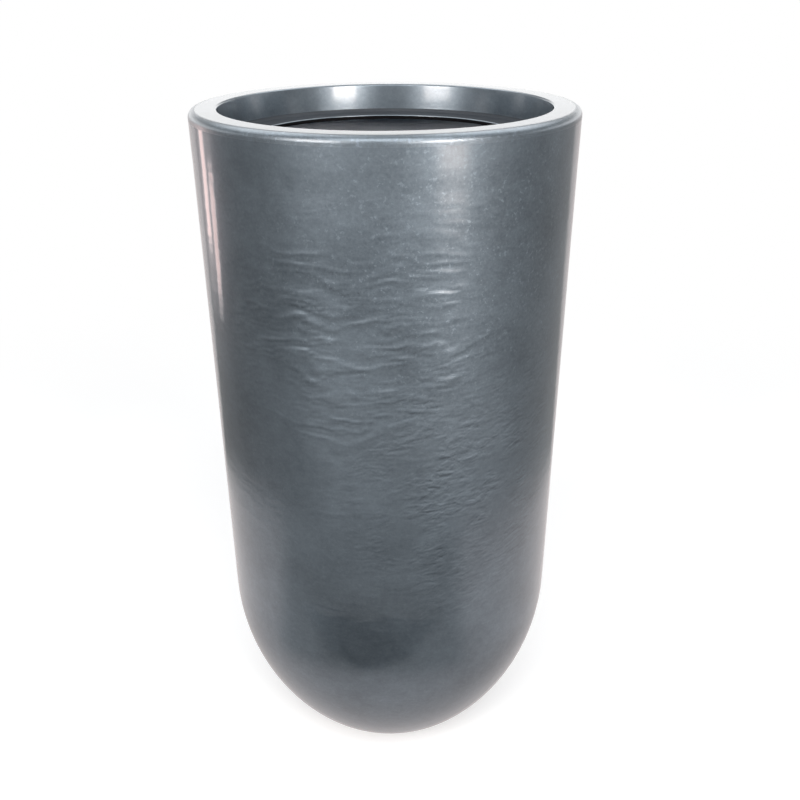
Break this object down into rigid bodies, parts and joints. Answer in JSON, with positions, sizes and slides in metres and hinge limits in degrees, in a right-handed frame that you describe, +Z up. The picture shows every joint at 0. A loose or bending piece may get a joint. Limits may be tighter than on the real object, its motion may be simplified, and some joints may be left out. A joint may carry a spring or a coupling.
{
  "type": "floor planter",
  "caption": "Tall floor planter with a round bottom, a flat rim with a recessed ledge, a weighted bowl with a plugged drain and a lift-out drainage plate.",
  "frame": {"origin": "on the ground, on the axis of the planter, under the centre of the foot", "axes": "+Z up along the planter's axis; the body is round, so X and Y are free, and the foot pads lie on the diagonals between X and Y"},
  "size_m": [0.3998, 0.3998, 0.75],
  "materials": {
    "painted_shell": "metallic blue-grey paint under a clear coat outside, bare dark laminate inside",
    "painted_collar": "metallic blue-grey paint under a clear coat",
    "mortar": "cast, matt",
    "resin": "poured resin, satin",
    "grey_pvc": "extruded, satin",
    "plug_rubber": "moulded, matt",
    "plate_plastic": "moulded, fine grain",
    "pad_rubber": "moulded, matt"
  },
  "bodies": {
    "planter": {"shell": "painted_shell", "rim_collar": "painted_collar", "ballast": "mortar", "sump_floor": "resin", "drain_tube": "grey_pvc", "foot_pads": "pad_rubber"},
    "plug": {"drain_plug": "plug_rubber"},
    "plate": {"drainage_plate": "plate_plastic"}
  },
  "joints": [
    {"name": "plate_lift", "type": "slide", "parent": "planter", "child": "plate", "axis": [0, 0, 1], "range_m": [0, 0.72]},
    {"name": "plug_lift", "type": "slide", "parent": "planter", "child": "plug", "axis": [0, 0, 1], "range_m": [0, 0.76]}
  ]
}
